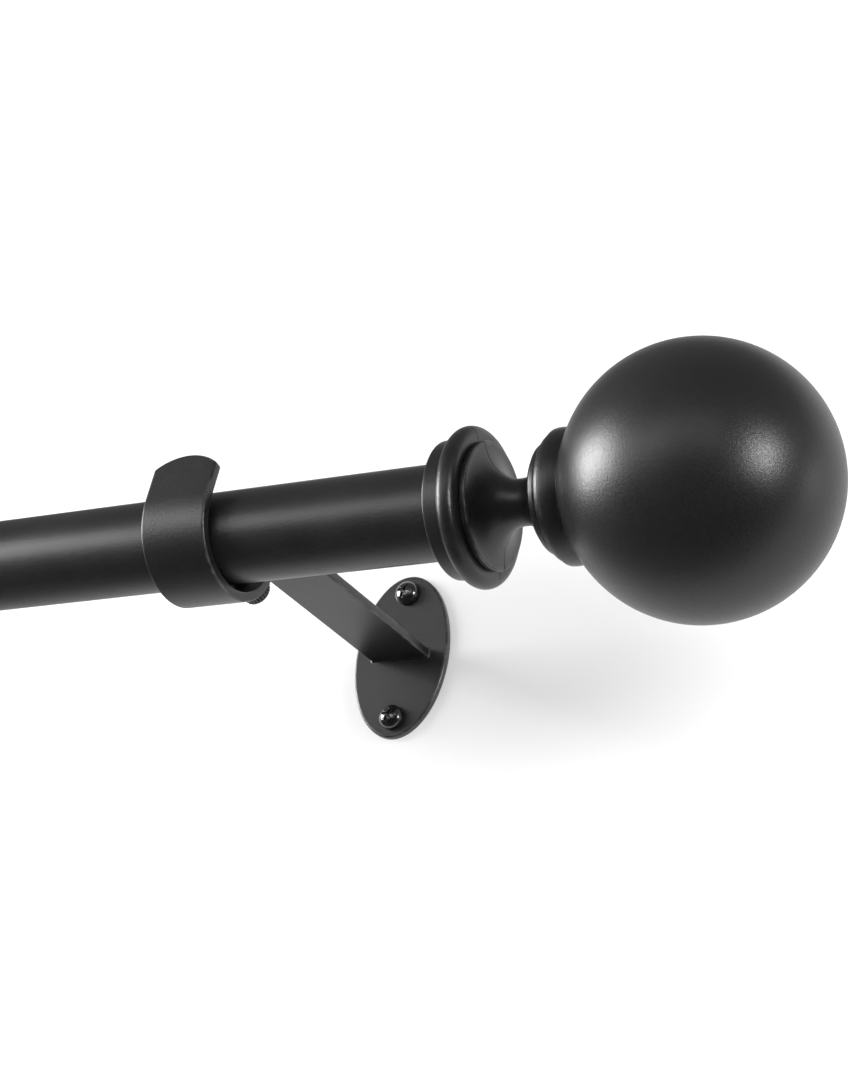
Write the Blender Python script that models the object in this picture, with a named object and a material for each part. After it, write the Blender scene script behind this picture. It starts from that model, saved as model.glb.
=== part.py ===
"""Telescoping curtain rod with two ball finials and two hook brackets.

World frame, metres: +X runs along the rod towards the right-hand finial,
+Y runs into the wall, +Z is up.  The origin is the middle of the back face
of the right-hand wall plate, so the wall surface is the plane y = 0.
"""
import math

import bmesh
import bpy
from mathutils import Matrix, Vector

# ---- overall sizes ---------------------------------------------------------
ROD_TO_WALL = 0.1115      # rod centre line to the wall surface
ROD_DROP = 0.0112         # rod centre line below the middle of the wall plate
OUTER_TUBE_LENGTH = 0.585
TUBE_EXPOSED = 0.126      # inner tube showing when the rod is closed
END_ROOM = 0.0044         # left between glide cap and plug when closed
BRACKET_INSET = 0.0766    # finial rim to the middle of its bracket

# ---- clearances ------------------------------------------------------------
GAP = 0.0003
REST_GAP = 0.00035        # rod to the cradle it lies in
HOLE_PLAY = 0.0004        # round a screw or insert in its hole
TIP_GAP = 0.0005          # thumb screw tip to the tube

# ---- tubes -----------------------------------------------------------------
OUTER_RADIUS = 0.0127
TUBE_WALL = 0.0008
SLIDE_PLAY = 0.0008       # between the two tubes
PLUG_LENGTH = 0.022
GLIDE_INSERT = 0.012
GLIDE_FLANGE = 0.004
GLIDE_WALL = 0.0018
GLIDE_EDGE = 0.0006

# ---- finial ----------------------------------------------------------------
COLLAR_LENGTH = 0.0267
COLLAR_WALL = 0.00514     # round the socket, at the rim
SOCKET_DEPTH = 0.0090
RIM_EDGE = 0.00025
BEAD_AT = 0.0071
BEAD_HALF = 0.0029
BEAD_RISE = 0.00296       # bead above the rim
STEP_INSET = 0.00149      # step ring below the rim
STEP_WIDTH = 0.0014
STEP_EDGE = 0.0003
COVE_LENGTH = 0.0070
NECK_WALL = 0.0028
FLARE_LENGTH = 0.0060     # neck widening towards the seat
FLARE_RISE = 0.0050
SEAT_RADIUS = 0.0176
SEAT_WEB = 0.0049
SEAT_ROUND = 0.0028
SEAT_LIP = 0.0020
RIDGE_INSET = 0.0040      # fine ridge below the seat's largest radius
BALL_RADIUS = 0.03545
BALL_WALL = 0.0016
STUD_RADIUS = 0.0030
STUD_GRIP = 0.0080        # thread held by the tube plug
STUD_CHAMFER = 0.0006
INSERT_WALL = 0.0042
INSERT_LENGTH = 0.0154
INSERT_FLANGE_RISE = 0.0025
INSERT_FLANGE_THICK = 0.0020

# ---- bracket ---------------------------------------------------------------
PLATE_HALF_HEIGHT = 0.0270
PLATE_HALF_WIDTH = 0.0161
PLATE_THICK = 0.0020
PLATE_EDGE = 0.0005
SCREW_TO_EDGE = 0.00625   # hole centre to the end of the plate
STRAP_WIDTH = 0.0200
STRAP_THICK = 0.0028
CRADLE_PLAY = 0.0034      # cradle radius over rod radius
REST_ANGLE = math.radians(49.0)
ARM_BEND_RADIUS = 0.0025
TIP_RISE = 0.0063         # hook tip above the top of the rod
TIP_LEAN = math.radians(10.0)
TIP_CROWN = 0.0037        # rise of the rounded tip
TIP_FLAT = 0.0008

# ---- screws ----------------------------------------------------------------
WALL_SCREW_HEAD_RADIUS = 0.0039
WALL_SCREW_HEAD_HEIGHT = 0.0034
WALL_SCREW_SHANK_RADIUS = 0.0019
WALL_SCREW_LENGTH = 0.0300
WALL_SCREW_POINT = 0.0060
RECESS_SPAN = 0.0044
RECESS_WIDTH = 0.0010
RECESS_DEPTH = 0.0017
THUMB_SHANK_RADIUS = 0.0024
THUMB_TIP_CHAMFER = 0.0005
THUMB_HEAD_RADIUS = 0.0042
THUMB_HEAD_LENGTH = 0.0060
THUMB_HEAD_EDGE = 0.0006
THUMB_GRIP = 0.0030       # shank inside the knurled head
THUMB_TILT = math.radians(6.0)  # screw tip points up at the tube
THUMB_STANDOFF = 0.0005   # head to strap when the screw bears on the thin tube
KNURL_DEPTH = 0.0003

# ---- facet counts ----------------------------------------------------------
SEG_LARGE = 32
PLATE_SEG = 40
KNURL_SEG = 28
SEG_SMALL = 16
SEG_THREAD = 12

# ---- derived sizes ---------------------------------------------------------
INNER_RADIUS = OUTER_RADIUS - TUBE_WALL - SLIDE_PLAY
RIM_RADIUS = OUTER_RADIUS + GAP + COLLAR_WALL
BEAD_RADIUS = RIM_RADIUS + BEAD_RISE
STEP_RADIUS = RIM_RADIUS - STEP_INSET
STUD_BORE = STUD_RADIUS + GAP
NECK_RADIUS = STUD_BORE + NECK_WALL
INSERT_RADIUS = STUD_BORE + INSERT_WALL
BALL_HOLE_RADIUS = INSERT_RADIUS + HOLE_PLAY
SEAT_START = COLLAR_LENGTH + GAP
SEAT_FLOOR = SEAT_START + SEAT_WEB
BALL_POLE = SEAT_FLOOR + GAP
BALL_CENTRE = BALL_POLE + BALL_RADIUS
INSERT_END = BALL_POLE + INSERT_LENGTH
CRADLE_RADIUS = OUTER_RADIUS + CRADLE_PLAY
CRADLE_BACK = (CRADLE_PLAY - REST_GAP) * math.cos(REST_ANGLE)
CRADLE_RISE = (CRADLE_PLAY - REST_GAP) * math.sin(REST_ANGLE)
THUMB_ALONG = CRADLE_BACK * math.cos(THUMB_TILT) - CRADLE_RISE * math.sin(THUMB_TILT)
THUMB_STRAP_OUT = THUMB_ALONG + math.sqrt(
    (CRADLE_RADIUS + STRAP_THICK) ** 2 + THUMB_ALONG ** 2
    - CRADLE_BACK ** 2 - CRADLE_RISE ** 2)
THUMB_REACH = THUMB_STRAP_OUT - INNER_RADIUS - TIP_GAP + THUMB_STANDOFF
THUMB_SHANK_LENGTH = THUMB_REACH + THUMB_GRIP
SCREW_SPACING = 2.0 * (PLATE_HALF_HEIGHT - SCREW_TO_EDGE)

# ---- derived positions -----------------------------------------------------
ROD_Y = -ROD_TO_WALL
ROD_Z = -ROD_DROP
RIGHT_RIM_X = BRACKET_INSET
RIGHT_END_X = RIGHT_RIM_X + SOCKET_DEPTH - GAP
OUTER_LEFT_X = RIGHT_END_X - OUTER_TUBE_LENGTH
LEFT_END_X = OUTER_LEFT_X - TUBE_EXPOSED
LEFT_RIM_X = LEFT_END_X + SOCKET_DEPTH - GAP
INNER_RIGHT_X = RIGHT_END_X - PLUG_LENGTH - GLIDE_FLANGE - GLIDE_EDGE - END_ROOM
LEFT_BRACKET_X = LEFT_RIM_X + BRACKET_INSET

X_AXIS = Vector((1.0, 0.0, 0.0))
Y_AXIS = Vector((0.0, 1.0, 0.0))
Z_AXIS = Vector((0.0, 0.0, 1.0))
THUMB_AXIS = Vector((0.0, math.cos(THUMB_TILT), -math.sin(THUMB_TILT)))


def clear_scene():
    for obj in list(bpy.data.objects):
        bpy.data.objects.remove(obj, do_unlink=True)
    for block in (bpy.data.meshes, bpy.data.materials):
        for item in list(block):
            block.remove(item)


def make_material(name, colour, roughness, metallic):
    mat = bpy.data.materials.new(name)
    mat.use_nodes = True
    shader = mat.node_tree.nodes["Principled BSDF"]
    shader.inputs["Base Color"].default_value = (*colour, 1.0)
    shader.inputs["Roughness"].default_value = roughness
    shader.inputs["Metallic"].default_value = metallic
    return mat


def finish_mesh(name, bm, origin, material, angle=30.0):
    """Turn a bmesh in world coordinates into an object with its own origin."""
    bmesh.ops.remove_doubles(bm, verts=bm.verts, dist=1e-7)
    bmesh.ops.recalc_face_normals(bm, faces=bm.faces)
    if bm.calc_volume(signed=True) < 0.0:
        bmesh.ops.reverse_faces(bm, faces=bm.faces)
    bm.transform(Matrix.Translation(-Vector(origin)))
    mesh = bpy.data.meshes.new(name)
    bm.to_mesh(mesh)
    bm.free()
    mesh.shade_smooth()
    mesh.set_sharp_from_angle(angle=math.radians(angle))
    mesh.materials.append(material)
    obj = bpy.data.objects.new(name, mesh)
    obj.location = origin
    bpy.context.scene.collection.objects.link(obj)
    return obj


def lathe(name, profile, axis, origin, segments, material, ripple=0.0, ripple_above=1.0):
    """Revolve a closed outline of (distance along axis, radius) points.

    Every other facet corner above the radius ripple_above is drawn in by
    ripple, which gives a straight knurl.
    """
    axis = Vector(axis).normalized()
    side = Z_AXIS if abs(axis.z) < 0.9 else X_AXIS
    u = axis.cross(side).normalized()
    v = axis.cross(u)
    origin = Vector(origin)
    bm = bmesh.new()
    rings = []
    for along, radius in profile:
        centre = origin + axis * along
        if radius < 1e-7:
            rings.append([bm.verts.new(centre)] * segments)
            continue
        ring = []
        for i in range(segments):
            turn = 2.0 * math.pi * i / segments
            r = radius
            if radius > ripple_above - 1e-6 and i % 2:
                r = radius - ripple
            ring.append(bm.verts.new(centre + (u * math.cos(turn) + v * math.sin(turn)) * r))
        rings.append(ring)
    count = len(rings)
    for k in range(count):
        a = rings[k]
        b = rings[(k + 1) % count]
        for i in range(segments):
            j = (i + 1) % segments
            corners = []
            for vert in (a[i], a[j], b[j], b[i]):
                if vert not in corners:
                    corners.append(vert)
            if len(corners) > 2:
                bm.faces.new(corners)
    return finish_mesh(name, bm, origin, material)


def cut(obj, cutter):
    """Boolean-subtract cutter from obj and drop the cutter."""
    cutter.hide_render = True
    cutter.display_type = "WIRE"
    mod = obj.modifiers.new("cut", "BOOLEAN")
    mod.operation = "DIFFERENCE"
    mod.solver = "EXACT"
    mod.object = cutter
    graph = bpy.context.evaluated_depsgraph_get()
    result = bpy.data.meshes.new_from_object(obj.evaluated_get(graph))
    obj.modifiers.clear()
    old = obj.data
    obj.data = result
    bpy.data.meshes.remove(old)
    result.name = obj.name
    result.set_sharp_from_angle(angle=math.radians(30.0))
    bpy.data.objects.remove(cutter, do_unlink=True)


def arc(centre, radius, start, end, steps):
    """Points on an arc; angles in degrees, both ends included."""
    points = []
    for i in range(steps + 1):
        a = math.radians(start + (end - start) * i / steps)
        points.append((centre[0] + radius * math.cos(a), centre[1] + radius * math.sin(a)))
    return points


def ball_surface(radius_from_axis, offset):
    """Distance from the collar rim of the ball's rod-side surface."""
    r = BALL_RADIUS + offset
    return BALL_CENTRE - math.sqrt(r * r - radius_from_axis * radius_from_axis)


# ---- rod -------------------------------------------------------------------
def tube(name, left, right, radius, material):
    bore = radius - TUBE_WALL
    length = right - left
    profile = [(0.0, bore), (0.0, radius), (length, radius), (length, bore)]
    return lathe(name, profile, X_AXIS, (left, ROD_Y, ROD_Z), SEG_LARGE, material)


def tube_plug(name, end_x, outward, tube_radius, material):
    """Threaded plug pushed into a tube end; its bore takes the finial stud."""
    body = tube_radius - TUBE_WALL - GAP
    bore = STUD_BORE
    profile = [(0.0, bore), (0.0, body), (-PLUG_LENGTH, body), (-PLUG_LENGTH, bore)]
    axis = X_AXIS * outward
    return lathe(name, profile, axis, (end_x, ROD_Y, ROD_Z), SEG_SMALL, material)


def glide_cap(material):
    """Plastic cap on the hidden end of the inner tube, sliding in the outer tube."""
    insert = INNER_RADIUS - TUBE_WALL - GAP
    flange = OUTER_RADIUS - TUBE_WALL - GAP
    core = insert - GLIDE_WALL
    profile = [
        (-GLIDE_INSERT, core),
        (-GLIDE_INSERT, insert),
        (GAP, insert),
        (GAP, flange),
        (GLIDE_FLANGE, flange),
        (GLIDE_FLANGE + GLIDE_EDGE, flange - GLIDE_EDGE),
        (GLIDE_FLANGE + GLIDE_EDGE, core),
    ]
    origin = (INNER_RIGHT_X, ROD_Y, ROD_Z)
    return lathe("inner_tube_glide", profile, X_AXIS, origin, SEG_SMALL, material)


def adapter_sleeve(material):
    """Ring that fills the finial socket round the thinner inner tube."""
    bore = INNER_RADIUS + GAP
    profile = [
        (0.0, bore),
        (0.0, OUTER_RADIUS),
        (2.0 * GAP - SOCKET_DEPTH, OUTER_RADIUS),
        (2.0 * GAP - SOCKET_DEPTH, bore),
    ]
    origin = (LEFT_END_X, ROD_Y, ROD_Z)
    return lathe("left_adapter_sleeve", profile, -X_AXIS, origin, SEG_LARGE, material)


# ---- finial ----------------------------------------------------------------
def collar_profile():
    """Socket for the rod end, band, bead, step ring, cove and neck."""
    socket = OUTER_RADIUS + GAP
    step_start = BEAD_AT + BEAD_HALF + 0.0002
    step_end = step_start + STEP_WIDTH
    step_side = STEP_RADIUS - 0.0004
    points = [
        (0.0, socket),
        (0.0, RIM_RADIUS - RIM_EDGE),
        (RIM_EDGE, RIM_RADIUS),
        (BEAD_AT - BEAD_HALF, RIM_RADIUS),
    ]
    points += arc((BEAD_AT, BEAD_RADIUS - BEAD_HALF), BEAD_HALF, 155.0, 0.0, 5)
    points += [
        (step_start, step_side),
        (step_start + STEP_EDGE, STEP_RADIUS),
        (step_end - STEP_EDGE, STEP_RADIUS),
    ]
    drop = step_side - NECK_RADIUS
    steps = 6
    for i in range(steps + 1):
        turn = 0.5 * math.pi * i / steps
        along = step_end + COVE_LENGTH * (1.0 - math.cos(turn))
        points.append((along, NECK_RADIUS + drop * (1.0 - math.sin(turn))))
    for i in range(1, steps + 1):
        turn = 0.5 * math.pi * i / steps
        points.append((COLLAR_LENGTH - FLARE_LENGTH * (1.0 - math.sin(turn)),
                       NECK_RADIUS + FLARE_RISE * (1.0 - math.cos(turn))))
    points += [
        (COLLAR_LENGTH, STUD_BORE),
        (SOCKET_DEPTH, STUD_BORE),
        (SOCKET_DEPTH, socket),
    ]
    return points


def seat_profile():
    """Flanged cup with two fine ridges; the ball sits in it."""
    ridge = SEAT_RADIUS - RIDGE_INSET
    lip = SEAT_RADIUS - SEAT_LIP
    clear = BALL_HOLE_RADIUS + 0.0001
    points = [
        (SEAT_START, STUD_BORE),
        (SEAT_START, ridge - 0.0003),
        (SEAT_START + 0.0003, ridge),
        (SEAT_START + 0.0010, ridge),
        (SEAT_START + 0.0013, ridge - 0.0004),
        (SEAT_START + 0.0014, ridge + 0.0010),
        (SEAT_START + 0.0022, ridge + 0.0018),
    ]
    points += arc((BALL_POLE, SEAT_RADIUS - SEAT_ROUND), SEAT_ROUND, 125.0, 35.0, 3)
    points.append((ball_surface(lip, GAP) - 0.0002, lip + 0.0004))
    for radius in (lip, 0.5 * (lip + clear), clear):
        points.append((ball_surface(radius, GAP), radius))
    points += [(SEAT_FLOOR, clear), (SEAT_FLOOR, STUD_BORE)]
    return points


def ball_profile():
    """Hollow shell about its own centre, with a round hole facing the seat."""
    inside = BALL_RADIUS - BALL_WALL
    outer_start = 180.0 - math.degrees(math.asin(BALL_HOLE_RADIUS / BALL_RADIUS))
    inner_start = 180.0 - math.degrees(math.asin(BALL_HOLE_RADIUS / inside))
    points = arc((0.0, 0.0), BALL_RADIUS, outer_start, 0.0, 14)
    points[-1] = (BALL_RADIUS, 0.0)
    points.append((inside, 0.0))
    points += arc((0.0, 0.0), inside, 20.0, inner_start, 7)
    return points


def insert_profile():
    """Threaded insert through the ball's hole, with its flange inside the shell."""
    inside = BALL_RADIUS - BALL_WALL
    flange = INSERT_RADIUS + INSERT_FLANGE_RISE
    flange_at = BALL_CENTRE - math.sqrt(inside ** 2 - flange ** 2) + 2.0 * GAP
    barrel = INSERT_RADIUS - 0.0010
    return [
        (BALL_POLE, STUD_BORE),
        (BALL_POLE, INSERT_RADIUS),
        (flange_at, INSERT_RADIUS),
        (flange_at, flange),
        (flange_at + INSERT_FLANGE_THICK, flange),
        (flange_at + INSERT_FLANGE_THICK, barrel),
        (INSERT_END, barrel),
        (INSERT_END, STUD_BORE),
    ]


def stud_profile():
    tip = SOCKET_DEPTH - GAP - STUD_GRIP
    end = INSERT_END - 0.0020
    return [
        (tip, 0.0),
        (tip, STUD_RADIUS - STUD_CHAMFER),
        (tip + STUD_CHAMFER, STUD_RADIUS),
        (end - STUD_CHAMFER, STUD_RADIUS),
        (end, STUD_RADIUS - STUD_CHAMFER),
        (end, 0.0),
    ]


def finial(side, rim_x, outward, mats):
    """Collar, seat, ball, ball insert and stud of one end."""
    axis = X_AXIS * outward
    origin = Vector((rim_x, ROD_Y, ROD_Z))
    centre = origin + axis * BALL_CENTRE
    paint = mats["paint"]
    lathe(side + "_finial_collar", collar_profile(), axis, origin, SEG_LARGE, paint)
    lathe(side + "_finial_seat", seat_profile(), axis, origin, SEG_LARGE, paint)
    lathe(side + "_finial_ball", ball_profile(), axis, centre, SEG_LARGE, paint)
    lathe(side + "_ball_insert", insert_profile(), axis, origin, SEG_SMALL, mats["zinc"])
    lathe(side + "_finial_stud", stud_profile(), axis, origin, SEG_THREAD, mats["steel"])


# ---- bracket ---------------------------------------------------------------
def strap_path():
    """Middle line of the bent strap as (y, z, half width) from plate to tip."""
    mid = CRADLE_RADIUS + STRAP_THICK / 2.0
    centre_y = ROD_Y + CRADLE_BACK
    centre_z = ROD_Z + CRADLE_RISE
    half = STRAP_WIDTH / 2.0
    bend = ARM_BEND_RADIUS + STRAP_THICK / 2.0
    rear_y = centre_y + mid
    path = [(-PLATE_THICK - GAP, 0.0, half)]
    bend_centre = (rear_y + bend, -bend)
    for y, z in arc(bend_centre, bend, 90.0, 180.0, 6):
        path.append((y, z, half))
    lean = math.degrees(TIP_LEAN)
    for y, z in arc((centre_y, centre_z), mid, 0.0, -180.0 - lean, 20):
        path.append((y, z, half))
    y0, z0, _ = path[-1]
    run = (ROD_Z + OUTER_RADIUS + TIP_RISE - z0) / math.cos(TIP_LEAN)
    crown_radius = (half * half + TIP_CROWN * TIP_CROWN) / (2.0 * TIP_CROWN)
    steps = 6
    for i in range(steps + 1):
        frac = math.sin(0.5 * math.pi * i / steps)
        into = TIP_CROWN * frac
        along = run - TIP_CROWN + into
        width = math.sqrt(max(crown_radius ** 2 - (crown_radius - TIP_CROWN + into) ** 2, 0.0))
        width = max(width, TIP_FLAT)
        y = y0 + along * math.sin(TIP_LEAN)
        z = z0 + along * math.cos(TIP_LEAN)
        path.append((y, z, width))
    return path


def strap(name, x, material):
    path = strap_path()
    bm = bmesh.new()
    rings = []
    last = len(path) - 1
    for i, (y, z, half) in enumerate(path):
        before = path[max(i - 1, 0)]
        after = path[min(i + 1, last)]
        d0 = Vector((y - before[0], z - before[1]))
        d1 = Vector((after[0] - y, after[1] - z))
        d0 = d0.normalized() if d0.length > 1e-9 else d1.normalized()
        d1 = d1.normalized() if d1.length > 1e-9 else d0
        tangent = (d0 + d1).normalized()
        stretch = 1.0 / max(tangent.dot(d1), 0.5)
        normal = Vector((-tangent.y, tangent.x)) * (STRAP_THICK / 2.0) * stretch
        ring = []
        for sx, sn in ((-1, -1), (1, -1), (1, 1), (-1, 1)):
            ring.append(bm.verts.new((x + sx * half, y + sn * normal.x, z + sn * normal.y)))
        rings.append(ring)
    for a, b in zip(rings, rings[1:]):
        for k in range(4):
            m = (k + 1) % 4
            bm.faces.new((a[k], a[m], b[m], b[k]))
    bm.faces.new(rings[0])
    bm.faces.new(rings[-1])
    obj = finish_mesh(name, bm, (x, -PLATE_THICK, 0.0), material)
    hole = THUMB_SHANK_RADIUS + HOLE_PLAY
    margin = STRAP_THICK
    depth = STRAP_THICK + 2.0 * margin
    reach = [(0.0, 0.0), (0.0, hole), (depth, hole), (depth, 0.0)]
    start = Vector((x, ROD_Y, ROD_Z)) + THUMB_AXIS * (THUMB_STRAP_OUT - STRAP_THICK - margin)
    cut(obj, lathe("cutter", reach, THUMB_AXIS, start, SEG_SMALL, material))
    return obj


def wall_plate(name, x, material):
    """Oval plate with an eased front edge and two screw holes."""
    eased = (-PLATE_THICK, PLATE_EDGE)
    bm = bmesh.new()
    rings = []
    for y, inset in ((0.0, 0.0), (-(PLATE_THICK - PLATE_EDGE), 0.0), eased):
        ring = []
        for i in range(PLATE_SEG):
            turn = 2.0 * math.pi * i / (PLATE_SEG)
            px = (PLATE_HALF_WIDTH - inset) * math.cos(turn)
            pz = (PLATE_HALF_HEIGHT - inset) * math.sin(turn)
            ring.append(bm.verts.new((x + px, y, pz)))
        rings.append(ring)
    count = PLATE_SEG
    for a, b in zip(rings, rings[1:]):
        for i in range(count):
            j = (i + 1) % count
            bm.faces.new((a[i], a[j], b[j], b[i]))
    bm.faces.new(rings[0])
    bm.faces.new(rings[-1])
    obj = finish_mesh(name, bm, (x, 0.0, 0.0), material)
    hole = WALL_SCREW_SHANK_RADIUS + HOLE_PLAY
    depth = 3.0 * PLATE_THICK
    through = [(0.0, 0.0), (0.0, hole), (depth, hole), (depth, 0.0)]
    for up in (1, -1):
        start = (x, -2.0 * PLATE_THICK, up * SCREW_SPACING / 2.0)
        cut(obj, lathe("cutter", through, Y_AXIS, start, SEG_SMALL, material))
    return obj


def box(name, centre, size, material):
    bm = bmesh.new()
    bmesh.ops.create_cube(bm, size=1.0)
    bm.transform(Matrix.Translation(Vector(centre)) @ Matrix.Diagonal((*size, 1.0)))
    return finish_mesh(name, bm, centre, material)


def wall_screw(name, x, z, material):
    """Pan-head cross-recess screw; the point is in the wall."""
    under = -PLATE_THICK - GAP
    rise = WALL_SCREW_HEAD_HEIGHT
    top = under - rise
    r = WALL_SCREW_HEAD_RADIUS
    shank = WALL_SCREW_SHANK_RADIUS
    end = under + WALL_SCREW_LENGTH
    profile = [
        (top, 0.0),
        (top + 0.06 * rise, 0.45 * r),
        (top + 0.24 * rise, 0.78 * r),
        (top + 0.50 * rise, 0.96 * r),
        (top + 0.74 * rise, r),
        (under, r),
        (under, shank),
        (end - WALL_SCREW_POINT, shank),
        (end, 0.0),
    ]
    origin = (x, 0.0, z)
    obj = lathe(name, profile, Y_AXIS, origin, SEG_SMALL, material)
    deep = 2.0 * RECESS_DEPTH
    for size in ((RECESS_SPAN, deep, RECESS_WIDTH), (RECESS_WIDTH, deep, RECESS_SPAN)):
        cut(obj, box("cutter", (x, top, z), size, material))
    return obj


def thumb_screw(side, x, tube_radius, mats):
    """Threaded shank through the back of the cradle and its knurled head."""
    origin = Vector((x, ROD_Y, ROD_Z)) + THUMB_AXIS * (tube_radius + TIP_GAP)
    chamfer = THUMB_TIP_CHAMFER
    r = THUMB_SHANK_RADIUS
    shank = [
        (0.0, 0.0),
        (0.0, r - chamfer),
        (chamfer, r),
        (THUMB_SHANK_LENGTH, r),
        (THUMB_SHANK_LENGTH, 0.0),
    ]
    lathe(side + "_thumb_screw", shank, THUMB_AXIS, origin, SEG_THREAD, mats["steel"])
    back = THUMB_SHANK_LENGTH - THUMB_GRIP
    front = back + THUMB_HEAD_LENGTH
    bore = r + GAP
    head = THUMB_HEAD_RADIUS
    edge = THUMB_HEAD_EDGE
    knob = [
        (back, bore),
        (back, head - edge),
        (back + edge, head),
        (front - edge, head),
        (front, head - edge),
        (front, 0.0),
        (THUMB_SHANK_LENGTH + GAP, 0.0),
        (THUMB_SHANK_LENGTH + GAP, bore),
    ]
    lathe(side + "_thumb_head", knob, THUMB_AXIS, origin, KNURL_SEG, mats["steel"],
          ripple=KNURL_DEPTH, ripple_above=head - edge)


def bracket(side, x, tube_radius, mats):
    wall_plate(side + "_wall_plate", x, mats["paint"])
    strap(side + "_bracket_arm", x, mats["paint"])
    thumb_screw(side, x, tube_radius, mats)
    for label, up in (("upper", 1), ("lower", -1)):
        z = up * SCREW_SPACING / 2.0
        wall_screw(side + "_wall_screw_" + label, x, z, mats["screw"])


def build():
    clear_scene()
    mats = {
        "paint": make_material("satin_black_paint", (0.018, 0.018, 0.019), 0.42, 0.0),
        "steel": make_material("blackened_steel", (0.045, 0.045, 0.047), 0.38, 0.8),
        "screw": make_material("glossy_black_screw", (0.012, 0.012, 0.013), 0.22, 0.3),
        "plastic": make_material("black_nylon", (0.030, 0.030, 0.031), 0.55, 0.0),
        "zinc": make_material("zinc_insert", (0.55, 0.56, 0.58), 0.35, 1.0),
    }
    tube("outer_tube", OUTER_LEFT_X, RIGHT_END_X, OUTER_RADIUS, mats["paint"])
    tube("inner_tube", LEFT_END_X, INNER_RIGHT_X, INNER_RADIUS, mats["paint"])
    tube_plug("right_tube_plug", RIGHT_END_X, 1.0, OUTER_RADIUS, mats["plastic"])
    tube_plug("left_tube_plug", LEFT_END_X, -1.0, INNER_RADIUS, mats["plastic"])
    glide_cap(mats["plastic"])
    adapter_sleeve(mats["plastic"])
    finial("right", RIGHT_RIM_X, 1.0, mats)
    finial("left", LEFT_RIM_X, -1.0, mats)
    bracket("right", 0.0, OUTER_RADIUS, mats)
    bracket("left", LEFT_BRACKET_X, INNER_RADIUS, mats)


build()
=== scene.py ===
"""Looks of the telescoping curtain rod with ball finials and hook brackets.

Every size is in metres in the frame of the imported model: +X runs along the rod
towards the right-hand finial, +Y runs into the wall, +Z is up.  Positions come
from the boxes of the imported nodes.
"""

import math

import bmesh
import bpy
from mathutils import Matrix, Vector

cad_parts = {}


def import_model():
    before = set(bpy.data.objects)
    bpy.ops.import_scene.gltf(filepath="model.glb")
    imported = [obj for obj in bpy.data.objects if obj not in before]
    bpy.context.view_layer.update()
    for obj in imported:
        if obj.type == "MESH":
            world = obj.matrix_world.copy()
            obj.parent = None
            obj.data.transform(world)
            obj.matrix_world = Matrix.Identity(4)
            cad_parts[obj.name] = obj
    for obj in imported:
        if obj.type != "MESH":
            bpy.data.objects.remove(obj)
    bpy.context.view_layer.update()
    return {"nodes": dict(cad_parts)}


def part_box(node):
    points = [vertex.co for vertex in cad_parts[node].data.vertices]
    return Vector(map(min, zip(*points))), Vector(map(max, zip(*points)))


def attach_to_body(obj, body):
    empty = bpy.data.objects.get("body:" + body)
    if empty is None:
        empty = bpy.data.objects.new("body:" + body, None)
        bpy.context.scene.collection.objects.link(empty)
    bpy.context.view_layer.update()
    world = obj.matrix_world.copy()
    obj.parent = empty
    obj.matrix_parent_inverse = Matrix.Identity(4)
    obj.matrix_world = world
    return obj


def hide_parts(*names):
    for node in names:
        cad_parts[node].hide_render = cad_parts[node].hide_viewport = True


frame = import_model()

MM = 0.001
X_AXIS = Vector((1.0, 0.0, 0.0))
Y_AXIS = Vector((0.0, 1.0, 0.0))
Z_AXIS = Vector((0.0, 0.0, 1.0))
TAU = 2.0 * math.pi

# ---- edges and facets ------------------------------------------------------
ROUND_STEPS = 5           # facets in a rounded edge
FINE_TURN = 160           # facets round a tube, collar or ball
SMALL_TURN = 96           # facets round a screw
LONGEST_STEP = 1.2 * MM   # between rings on a turned piece
WEAR_AND_HIGHLIGHT_CURVATURE = 1600.0   # per metre; an edge this tight gets the full lighter edge tone, partly wear and partly a painted highlight
SHARP_ANGLE = 35.0        # degrees; a tighter edge is shaded sharp
DRILL_FACETS = 48

# ---- rod -------------------------------------------------------------------
TUBE_WALL = 0.8 * MM
TUBE_EASE = 0.22 * MM
TUBE_STEP = 9.0 * MM      # between rings along a tube
SLEEVE_EASE = 0.25 * MM
SLEEVE_PLAY = 0.1 * MM    # sleeve round the inner tube

# ---- finial ----------------------------------------------------------------
SOCKET_DEPTH = 9.0 * MM
SOCKET_PLAY = 0.3 * MM    # socket round the tube
PIECE_GAP = 0.05 * MM     # between collar, seat and ball
BEAD_RISE = 2.96 * MM     # bead above the rim
BEAD_STEPS = 30
RIM_ROUND = 0.32 * MM
BAND_LENGTH = 4.50 * MM
BEAD_HALF = 2.60 * MM
BEAD_SQUARENESS = 2.1     # exponent of the bead's outline; 2 is a circle
STEP_DROP = 1.49 * MM     # step ring below the rim
STEP_LENGTH = 1.65 * MM
STEP_ROUND = 0.32 * MM
STEP_CROWN = 0.15 * MM
STEP_SHOULDER = 0.42 * MM # drop from the step ring to the cove
GROOVE_DROP = 0.50 * MM   # groove between bead and step ring
COVE_LENGTH = 7.8 * MM
NECK_RADIUS = 6.15 * MM
FLARE_LENGTH = 6.6 * MM   # neck widening towards the seat
FLARE_RISE = 5.2 * MM
SEAT_MIDDLE = 32.9 * MM   # largest seat radius, from the collar rim
SEAT_ROUND = 7.0 * MM
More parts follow.
